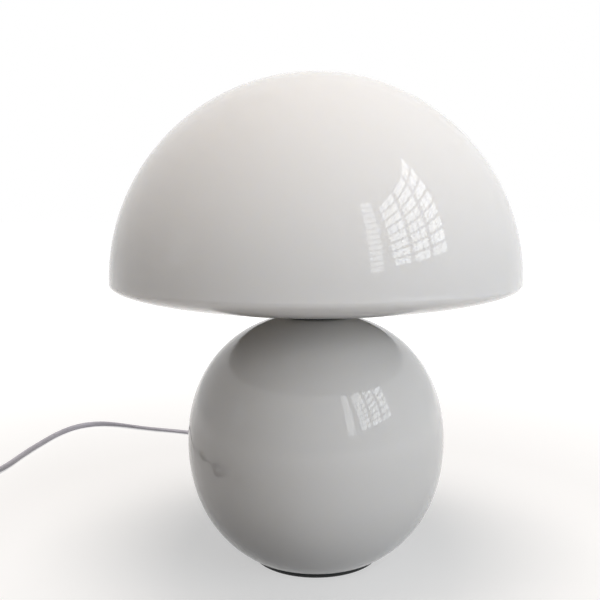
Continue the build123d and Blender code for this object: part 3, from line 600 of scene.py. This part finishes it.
def smooth(piece, degrees=35):
    """Smooth a piece but for edges sharper than an angle."""
    nothing_selected()
    piece.select_set(True)
    bpy.context.view_layer.objects.active = piece
    bpy.ops.object.shade_smooth_by_angle(angle=math.radians(degrees))


def coil_place(turn):
    """Middle of the cord after a number of turns of the coil."""
    past_reversal = turn - COIL_LAYER_TURNS
    radius = COIL_OUTER - COIL_PITCH * (COIL_LAYER_TURNS - abs(past_reversal))
    share = min(max(past_reversal / COIL_CLIMB + 0.5, 0), 1)
    eased = share * share * (3 - 2 * share)
    height = EDGE_LIE + COIL_LAYER * eased
    angle = math.pi + math.tau * turn
    return (
        COIL_CENTRE.x + radius * math.cos(angle),
        COIL_CENTRE.y + radius * math.sin(angle),
        height,
    )


# ---------------------------------------------------------------------------
# Operators
# ---------------------------------------------------------------------------


class LAMP_OT_camera(bpy.types.Operator):
    """Stand the camera at the photograph's viewpoint"""
    bl_idname = "lamp.camera"
    bl_label = "Camera"

    def execute(self, context):
        nothing_selected()
        bpy.ops.object.camera_add(
            location=CAMERA_PLACE, rotation=(math.radians(90 - CAMERA_TILT), 0, 0)
        )
        camera = context.object
        camera.name = "viewpoint"
        camera.data.lens = CAMERA_LENS
        camera.data.sensor_width = CAMERA_SENSOR
        camera.data.shift_x = -PHOTO_OFFSET / PHOTO_WIDTH
        camera.data.clip_start = CAMERA_NEAR
        context.scene.camera = camera
        return {"FINISHED"}


class LAMP_OT_cord(bpy.types.Operator):
    """Lay the flat two-core cord from the globe to its plug"""
    bl_idname = "lamp.cord"
    bl_label = "Cord"

    def execute(self, context):
        sizes, colours = context.scene.lamp_sizes, context.scene.lamp_colours
        nothing_selected()
        bpy.ops.curve.primitive_bezier_circle_add(radius=1)
        section = context.object
        section.name = "cord_section"
        section.scale = (sizes.cord_width / 2, sizes.cord_thickness / 2, 1)
        bpy.ops.object.transform_apply(location=False, rotation=False, scale=True)
        section.data.resolution_u = CORD_SECTION_STEPS
        section.hide_render = True

        steps = 2 * COIL_LAYER_TURNS * COIL_POINTS_PER_TURN
        on_edge = 1.0
        turns = (step / COIL_POINTS_PER_TURN for step in range(1, steps))
        coil = [(coil_place(turn), on_edge) for turn in turns]
        route = LEAD + SWITCH_TO_COIL + coil + COIL_TO_PLUG
        data = bpy.data.curves.new("cord", "CURVE")
        data.dimensions = "3D"
        data.twist_mode = "Z_UP"
        spline = data.splines.new("NURBS")
        spline.points.add(len(route) - 1)
        for point, (place, turned) in zip(spline.points, route):
            point.co = (*place, 1)
            point.tilt = turned * math.pi / 2
        spline.order_u = 3
        spline.use_endpoint_u = True
        data.resolution_u = CORD_STEPS
        data.bevel_mode = "OBJECT"
        data.bevel_object = section
        data.use_fill_caps = True
        cord = bpy.data.objects.new("cord", data)
        context.collection.objects.link(cord)
        # The sheath colour carries painted shade: a white cord greyed as if lying in
        # shade
        put_on(cord, cord_sheath("cord_sheath", colours.cord_sheath))
        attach(cord, "base")
        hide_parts("cord_lead", "cord_tail", "cord_coil", "cord_end")
        return {"FINISHED"}


class LAMP_OT_strain_relief(bpy.types.Operator):
    """Turn the ribbed strain relief where the cord leaves the globe"""
    bl_idname = "lamp.strain_relief"
    bl_label = "Strain relief"

    def execute(self, context):
        across = Vector((0, -EXIT_WAY.z, EXIT_WAY.y))

        def at(along, out):
            return CORD_EXIT + EXIT_WAY * along + across * out

        flange, neck, root, tip = 0.0090, 0.0060, 0.0066, 0.0045
        neck_length, flange_land, flange_end = 0.0095, 0.0013, 0.0020
        chamfer, bevelled, fillet = 0.0004, 0.0009, 0.0006
        length, grooves, depth = 0.0260, 5, 0.0008
        # Half widths of a groove as shares of the pitch, and the taper across it
        mouth, floor, taper = 0.26, 0.18, 0.00008
        nose_round, nose_fall, nose_crown = 0.0002, 0.0005, 0.0003
        profile = [
            at(-neck_length, 0.0), at(-neck_length, neck), at(0, neck),
            at(0, flange - chamfer), at(chamfer, flange), at(flange_land, flange),
            at(flange_end, flange - bevelled), at(flange_end, root + fillet),
            at(flange_end + fillet, root),
        ]
        pitch = length / (grooves + 1)
        for groove in range(1, grooves + 1):
            middle = flange_end + groove * pitch
            out = root - (root - tip) * groove / (grooves + 1)
            profile += [
                at(middle - pitch * mouth, out + taper),
                at(middle - pitch * floor, out - depth),
                at(middle + pitch * floor, out - depth),
                at(middle + pitch * mouth, out - taper),
            ]
        end = flange_end + length
        profile += [
            at(end - chamfer, tip), at(end + nose_round, tip - nose_fall),
            at(end + nose_crown, 0.0),
        ]
        outline = [straight(a, b) for a, b in zip(profile, profile[1:])]
        relief = draw_outline("cord_relief", outline, resolution=2, closed=False)
        spin_outline(relief, CORD_EXIT, EXIT_WAY, steps=72)
        bevel = relief.modifiers.new("soft edges", "BEVEL")
        bevel.width, bevel.segments, bevel.limit_method = 0.00018, 2, "ANGLE"
        bevel.angle_limit = math.radians(25)
        bpy.ops.object.modifier_apply(modifier=bevel.name)
        smooth(relief, degrees=40)
        put_on(relief, moulded_plastic("relief_rubber", (0.70, 0.69, 0.69), 0.46))
        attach(relief, "base")
        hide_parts("cord_boot")
        return {"FINISHED"}


class LAMP_OT_globe(bpy.types.Operator):
    """Blow the opal glass globe, ground flat at its foot and neck"""
    bl_idname = "lamp.globe"
    bl_label = "Globe"

    def execute(self, context):
        sizes, colours = context.scene.lamp_sizes, context.scene.lamp_colours
        radius, belly, full = GLOBE_HIGH.x, sizes.globe_belly, sizes.globe_fullness
        foot, neck = GLOBE_LOW.z, GLOBE_HIGH.z

        def halves(wall):
            """Upper and lower half of the outline, a wall's thickness inwards."""
            r = radius - wall
            rise, drop = sizes.globe_rise - wall, sizes.globe_drop - wall
            high, low = belly + rise, belly - drop
            side = [(r, belly)]
            upper = [(0, high), (full * r, high), (r, belly + full * rise)]
            lower = [(r, belly - full * drop), (full * r, low), (0, low)]
            return [
                [Vector((x, 0, z)) for x, z in points]
                for points in (upper + side, side + lower)
            ]

        top, bottom = halves(0)
        inner_top, inner_bottom = halves(sizes.globe_wall)
        ground = Vector((FOOT_RING, 0, foot))
        edge = share_at(bottom, 2, foot + FOOT_ROUND)
        outside = [
            part_of(top, share_at(top, 2, neck), 1),
            part_of(bottom, 0, edge),
        ]
        last = outside[-1]
        slope = last[3] - last[2]
        corner = last[3] + slope * ((foot - last[3].z) / slope.z)
        inner_foot = part_of(inner_bottom, 0, share_at(inner_bottom, 2, foot))
        inner_neck = part_of(inner_top, share_at(inner_top, 0, sizes.neck_hole), 1)
        rim = Vector((sizes.neck_hole, 0, neck))
        outline = outside + [
            rounded(last[3], corner, ground),
            straight(ground, inner_foot[3]),
            inner_foot[::-1],
            inner_neck[::-1],
            straight(inner_neck[0], rim),
            straight(rim, outside[0][0]),
        ]
        globe = draw_outline("globe_glass", outline, resolution=40, closed=True)
        spin_outline(globe, (0, 0, 0), (0, 0, 1), SPIN_STEPS)

        nothing_selected()
        bpy.ops.mesh.primitive_cylinder_add(
            vertices=64, radius=CORD_HOLE, depth=DRILL_LENGTH, location=CORD_EXIT,
            rotation=EXIT_WAY.to_track_quat("Z", "Y").to_euler(),
        )
        drill = context.object
        nothing_selected()
        globe.select_set(True)
        context.view_layer.objects.active = globe
        hole = globe.modifiers.new("cord hole", "BOOLEAN")
        hole.operation, hole.object, hole.solver = "DIFFERENCE", drill, "EXACT"
        bpy.ops.object.modifier_apply(modifier=hole.name)
        bpy.data.objects.remove(drill)
        smooth(globe)
        put_on(globe, opal_glass(
            "opal_glass_globe", colours.opal_glass, waviness=0.00012, scatter=0.25))
        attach(globe, "base")
        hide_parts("globe")
        return {"FINISHED"}


class LAMP_OT_shade(bpy.types.Operator):
    """Blow the opal glass shade with its drawn-in lip"""
    bl_idname = "lamp.shade"
    bl_label = "Shade"

    def execute(self, context):
        sizes, colours = context.scene.lamp_sizes, context.scene.lamp_colours
        radius, wall = SHADE_HIGH.x, sizes.shade_wall
        widest = SHADE_HIGH.z - radius
        slope = math.tan(sizes.lip_slope)

        def dome(r):
            return [
                Vector((0, 0, widest + r)), Vector((r * ARC_HANDLE, 0, widest + r)),
                Vector((r, 0, widest + r * ARC_HANDLE)), Vector((r, 0, widest)),
            ]

        def lip(r, edge):
            corner = Vector((r, 0, edge.z + (r - edge.x) * slope))
            side = Vector((r, 0, widest))
            return [side, side.lerp(corner, 2 / 3), edge.lerp(corner, 2 / 3), edge]

        edge = Vector((radius - sizes.lip_width, 0, widest - sizes.lip_depth))
        over = Vector((-math.sin(sizes.lip_slope), 0, math.cos(sizes.lip_slope)))
        inward = Vector((-math.cos(sizes.lip_slope), 0, -math.sin(sizes.lip_slope)))
        inner_edge = edge + over * wall
        middle = (edge + inner_edge) / 2 + inward * wall / 2
        reach = ARC_HANDLE * wall / 2
        bead = [
            [edge, edge + inward * reach, middle - over * reach, middle],
            [middle, middle + over * reach, inner_edge + inward * reach, inner_edge],
        ]
        outline = [dome(radius), lip(radius, edge), *bead]
        outline += [lip(radius - wall, inner_edge)[::-1], dome(radius - wall)[::-1]]
        shade = draw_outline("shade_glass", outline, resolution=56, closed=False)
        spin_outline(shade, (0, 0, 0), (0, 0, 1), SPIN_STEPS)
        smooth(shade)
        put_on(shade, opal_glass(
            "opal_glass_shade", colours.opal_glass, waviness=0.00015, scatter=0.4))
        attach(shade, "shade")
        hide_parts("shade")
        return {"FINISHED"}


class LAMP_OT_fittings(bpy.types.Operator):
    """Give every fitting that keeps its form its own finish"""
    bl_idname = "lamp.fittings"
    bl_label = "Fittings"

    def execute(self, context):
        colours = context.scene.lamp_colours
        white = moulded_plastic("holder_plastic", colours.white_plastic)
        black = satin_paint("black_paint", colours.black_paint)
        steel = plated_metal("zinc_steel", (0.62, 0.63, 0.64), 0.34, spangle=320)
        brass = plated_metal("nickel_brass", (0.72, 0.69, 0.62), 0.22)
        cap = rubber("clear_rubber", (0.52, 0.51, 0.49))
        arm = satin_paint("white_paint", (0.72, 0.72, 0.70), 0.4)
        switch = moulded_plastic("switch_plastic", colours.white_plastic, 0.34)
        finishes = {
            rubber("black_rubber", (0.012, 0.012, 0.013)): ("foot_pad", "foot_gasket"),
            black: ("foot_plate", "neck_collar"),
            cast_iron("raw_iron"): ("base_weight",),
            steel: (
                "foot_washer", "foot_nut", "threaded_tube", "neck_washer", "neck_nut",
                "terminal_screws", "switch_screws",
            ),
            moulded_plastic("black_plastic", (0.020, 0.020, 0.022), 0.42): (
                "neck_bush", "boot_nut",
            ),
            white: ("holder_cap", "holder_sleeve", "shade_ring"),
            glazed_ceramic("glazed_ceramic"): ("holder_insert", "bulb_insulator"),
            brass: ("screw_shell", "centre_contact", "terminal_blocks"),
            arm: ("carrier_hub", "carrier_arm_1", "carrier_arm_2", "carrier_arm_3"),
            cap: ("carrier_cap_1", "carrier_cap_2", "carrier_cap_3"),
            plated_metal("solder", (0.60, 0.60, 0.61), 0.42): ("bulb_contact",),
            plated_metal("bulb_nickel", (0.74, 0.73, 0.71), 0.24, grain=(1, 1, 12)): (
                "bulb_cap",
            ),
            moulded_plastic("bulb_plastic", (0.78, 0.77, 0.75), 0.4): ("bulb_housing",),
            bare_board("board_aluminium"): ("bulb_board",),
            frosted_bulb("bulb_frost"): ("bulb_envelope",),
            # The cord inside takes the cord's material, painted shade included
            bpy.data.materials["cord_sheath"]: ("cord_inside",),
            moulded_plastic("blue_insulation", (0.06, 0.16, 0.42), 0.36): (
                "core_blue",
            ),
            moulded_plastic("brown_insulation", (0.16, 0.07, 0.035), 0.36): (
                "core_brown",
            ),
            switch: ("switch_base", "switch_cover", "switch_rocker"),
            moulded_plastic("plug_plastic", colours.white_plastic, 0.42): (
                "plug_body",
            ),
            plated_metal("pin_nickel", (0.70, 0.70, 0.68), 0.2, grain=(14, 1, 1)): (
                "plug_pins",
            ),
        }
        for material, names in finishes.items():
            for name in names:
                put_on(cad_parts[name], material)
        return {"FINISHED"}


class LAMP_OT_stage(bpy.types.Operator):
    """Lay the pale floor and hang the lights and the reflected window"""
    bl_idname = "lamp.stage"
    bl_label = "Stage"

    def execute(self, context):
        settings = context.scene.lamp_stage
        nothing_selected()
        bpy.ops.mesh.primitive_plane_add(size=FLOOR_SIZE, location=(0, 0, -FLOOR_DROP))
        floor = context.object
        floor.name = "floor"
        put_on(floor, self.floor_material(settings.near_bounce, settings.far_bounce))

        for name, (ways, panes, share) in WINDOWS.items():
            self.window(name, ways, panes, share * settings.window_strength)
        self.soft_light("top_light", TOP_LIGHT, settings.top_power, WARM_WHITE)
        self.soft_light("front_light", FRONT_LIGHT, settings.front_power, SOFT_WHITE)
        self.soft_light("side_light", SIDE_LIGHT, settings.side_power, COOL_WHITE)
        self.world(context, settings.ambient)
        context.scene.view_settings.view_transform = "Standard"
        return {"FINISHED"}

    @staticmethod
    def seen(nodes):
        """1 for camera, glossy and transmitted rays, which see the white background."""
        path = nodes.new("ShaderNodeLightPath")
        total = path.outputs["Is Camera Ray"]
        for name in ("Is Glossy Ray", "Is Transmission Ray"):
            either = nodes.new("ShaderNodeMath")
            either.operation = "MAXIMUM"
            nodes.id_data.links.new(total, either.inputs[0])
            nodes.id_data.links.new(path.outputs[name], either.inputs[1])
            total = either.outputs[0]
        return total

    @staticmethod
    def outwards(nodes, distance, reach, values):
        """A value that changes with the distance from the lamp."""
        node = nodes.new("ShaderNodeMapRange")
        for socket, value in zip(node.inputs[RANGE_SOCKETS], (*reach, *values)):
            socket.default_value = value
        nodes.id_data.links.new(distance.outputs["Value"], node.inputs["Value"])
        return node.outputs["Result"]

    def floor_material(self, near, far):
        """Pale to the eye with painted shade near the lamp; dim to the light it gives
        back.
        """
        material = bpy.data.materials.new("pale_floor")
        material.use_nodes = True
        nodes, links = material.node_tree.nodes, material.node_tree.links
        nodes.clear()
        output = nodes.new("ShaderNodeOutputMaterial")
        mix = nodes.new("ShaderNodeMixShader")
        both = nodes.new("ShaderNodeAddShader")
        dim = nodes.new("ShaderNodeBsdfDiffuse")
        pale = nodes.new("ShaderNodeBsdfDiffuse")
        glow = nodes.new("ShaderNodeEmission")
        place = nodes.new("ShaderNodeTexCoord")
        distance = nodes.new("ShaderNodeVectorMath")
        distance.operation = "LENGTH"
        links.new(place.outputs["Object"], distance.inputs[0])
        bounced = self.outwards(nodes, distance, BOUNCE_REACH, (near, far))
        links.new(bounced, dim.inputs["Color"])
        # The glow is lower near the lamp: painted shade around it, also seen in the
        # glass
        glow_with_painted_shade = self.outwards(nodes, distance, GLOW_REACH, SHADED_GLOW_RANGE)
        links.new(glow_with_painted_shade, glow.inputs["Strength"])
        pale.inputs["Color"].default_value = FLOOR_TONE
        links.new(pale.outputs[0], both.inputs[0])
        links.new(glow.outputs[0], both.inputs[1])
        links.new(self.seen(nodes), mix.inputs[0])
        links.new(dim.outputs[0], mix.inputs[1])
        links.new(both.outputs[0], mix.inputs[2])
        links.new(mix.outputs[0], output.inputs["Surface"])
        return material

    def world(self, context, ambient):
        """White behind the lamp, and a low even light on it."""
        world = bpy.data.worlds.new("studio")
        context.scene.world = world
        world.use_nodes = True
        nodes, links = world.node_tree.nodes, world.node_tree.links
        shine = nodes["Background"]
        level = nodes.new("ShaderNodeMapRange")
        level.inputs["To Min"].default_value = ambient
        level.inputs["To Max"].default_value = 1.0
        links.new(self.seen(nodes), level.inputs["Value"])
        links.new(level.outputs["Result"], shine.inputs["Strength"])
        shine.inputs["Color"].default_value = (1, 1, 1, 1)

    @staticmethod
    def direction(azimuth, elevation):
        """Direction from the lamp, in degrees to the viewer's right and upwards."""
        turn, lift = math.radians(azimuth), math.radians(elevation)
        level = math.cos(lift)
        return Vector((math.sin(turn) * level, -math.cos(turn) * level, math.sin(lift)))

    def soft_light(self, name, place, power, colour):
        """A soft square light that looks at the lamp and isn't reflected in it."""
        way = self.direction(*place)
        nothing_selected()
        bpy.ops.object.light_add(
            type="AREA", location=Vector((0, 0, LIGHT_AIM)) + way * LIGHT_DISTANCE,
            rotation=(-way).to_track_quat("-Z", "Y").to_euler(),
        )
        light = bpy.context.object
        light.name = name
        light.data.shape = "SQUARE"
        light.data.size = LIGHT_SIZE
        light.data.energy = power
        light.data.color = colour
        light.visible_glossy = False

    def window(self, name, ways, panes, strength):
        """A window that only reflections show: panes of light between clear bars."""
        nothing_selected()
        bpy.ops.mesh.primitive_grid_add(
            x_subdivisions=WINDOW_GRID, y_subdivisions=WINDOW_GRID, size=1)
        pane = bpy.context.object
        pane.name = name
        low_left, low_right, high_right, high_left = map(Vector, ways)
        for vertex in pane.data.vertices:
            across, up = vertex.co.x + 0.5, vertex.co.y + 0.5
            low = low_left.lerp(low_right, across)
            high = high_left.lerp(high_right, across)
            way = self.direction(*low.lerp(high, up))
            vertex.co = Vector((0, 0, LIGHT_AIM)) + way * WINDOW_DISTANCE
        pane.visible_camera = pane.visible_diffuse = pane.visible_shadow = False
        material = bpy.data.materials.new(name)
        material.use_nodes = True
        nodes, links = material.node_tree.nodes, material.node_tree.links
        nodes.clear()
        uv = nodes.new("ShaderNodeTexCoord").outputs["UV"]
        split = nodes.new("ShaderNodeSeparateXYZ")
        links.new(uv, split.inputs[0])

        def calculate(kind, first, second):
            """One step of arithmetic on two numbers or sockets."""
            node = nodes.new("ShaderNodeMath")
            node.operation = kind
            for socket, value in zip(node.inputs, (first, second)):
                if isinstance(value, float):
                    socket.default_value = value
                else:
                    links.new(value, socket)
            return node.outputs[0]

        def panes_along(side, count, bar):
            """1 in the panes and 0 on the bars, along one side of the window."""
            place = calculate("MULTIPLY", split.outputs[side], float(count))
            return calculate("GREATER_THAN", calculate("FRACT", place, 0.0), bar)

        columns, rows = panes
        light = panes_along("Y", rows, RAIL)
        if columns > 1:
            posts = panes_along("X", columns, POST)
            bars = panes_along("X", PANES_PER_POST * columns, GLAZING_BAR)
            light = calculate("MULTIPLY", light, calculate("MULTIPLY", posts, bars))
        twigs = nodes.new("ShaderNodeTexVoronoi")
        twigs.feature = "DISTANCE_TO_EDGE"
        twigs.inputs["Scale"].default_value = TWIG_SCALE
        links.new(uv, twigs.inputs["Vector"])
        open_sky = calculate("GREATER_THAN", twigs.outputs["Distance"], TWIG_WIDTH)
        light = calculate("MULTIPLY", light, calculate("MAXIMUM", open_sky, TWIG_LIGHT))
        glow = nodes.new("ShaderNodeEmission")
        glow.inputs["Color"].default_value = DAYLIGHT
        glow.inputs["Strength"].default_value = strength
        clear = nodes.new("ShaderNodeBsdfTransparent")
        mix = nodes.new("ShaderNodeMixShader")
        output = nodes.new("ShaderNodeOutputMaterial")
        links.new(light, mix.inputs[0])
        links.new(clear.outputs[0], mix.inputs[1])
        links.new(glow.outputs[0], mix.inputs[2])
        links.new(mix.outputs[0], output.inputs["Surface"])
        put_on(pane, material)


class LAMP_PT_panel(bpy.types.Panel):
    """Sizes, colours and steps of the lamp"""
    bl_idname = "LAMP_PT_panel"
    bl_label = "Mushroom Table Lamp"
    bl_space_type = "VIEW_3D"
    bl_region_type = "UI"
    bl_category = "Lamp"

    def draw(self, context):
        for group in ("lamp_sizes", "lamp_colours", "lamp_stage"):
            column = self.layout.box().column()
            settings = getattr(context.scene, group)
            for name in settings.__annotations__:
                column.prop(settings, name)
        for step in STEPS:
            self.layout.operator(step.bl_idname)


STEPS = (
    LAMP_OT_camera, LAMP_OT_cord, LAMP_OT_strain_relief, LAMP_OT_globe, LAMP_OT_shade,
    LAMP_OT_fittings, LAMP_OT_stage,
)
GROUPS = (LampSizes, LampColours, StageSettings)


def register():
    for kind in (*GROUPS, *STEPS, LAMP_PT_panel):
        bpy.utils.register_class(kind)
    bpy.types.Scene.lamp_sizes = bpy.props.PointerProperty(type=LampSizes)
    bpy.types.Scene.lamp_colours = bpy.props.PointerProperty(type=LampColours)
    bpy.types.Scene.lamp_stage = bpy.props.PointerProperty(type=StageSettings)


def unregister():
    del bpy.types.Scene.lamp_stage
    del bpy.types.Scene.lamp_colours
    del bpy.types.Scene.lamp_sizes
    for kind in reversed((*GROUPS, *STEPS, LAMP_PT_panel)):
        bpy.utils.unregister_class(kind)


def main():
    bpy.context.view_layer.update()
    register()
    bpy.ops.lamp.camera()
    bpy.ops.lamp.cord()
    bpy.ops.lamp.strain_relief()
    bpy.ops.lamp.globe()
    bpy.ops.lamp.shade()
    bpy.ops.lamp.fittings()
    bpy.ops.lamp.stage()


if __name__ == "__main__":
    main()
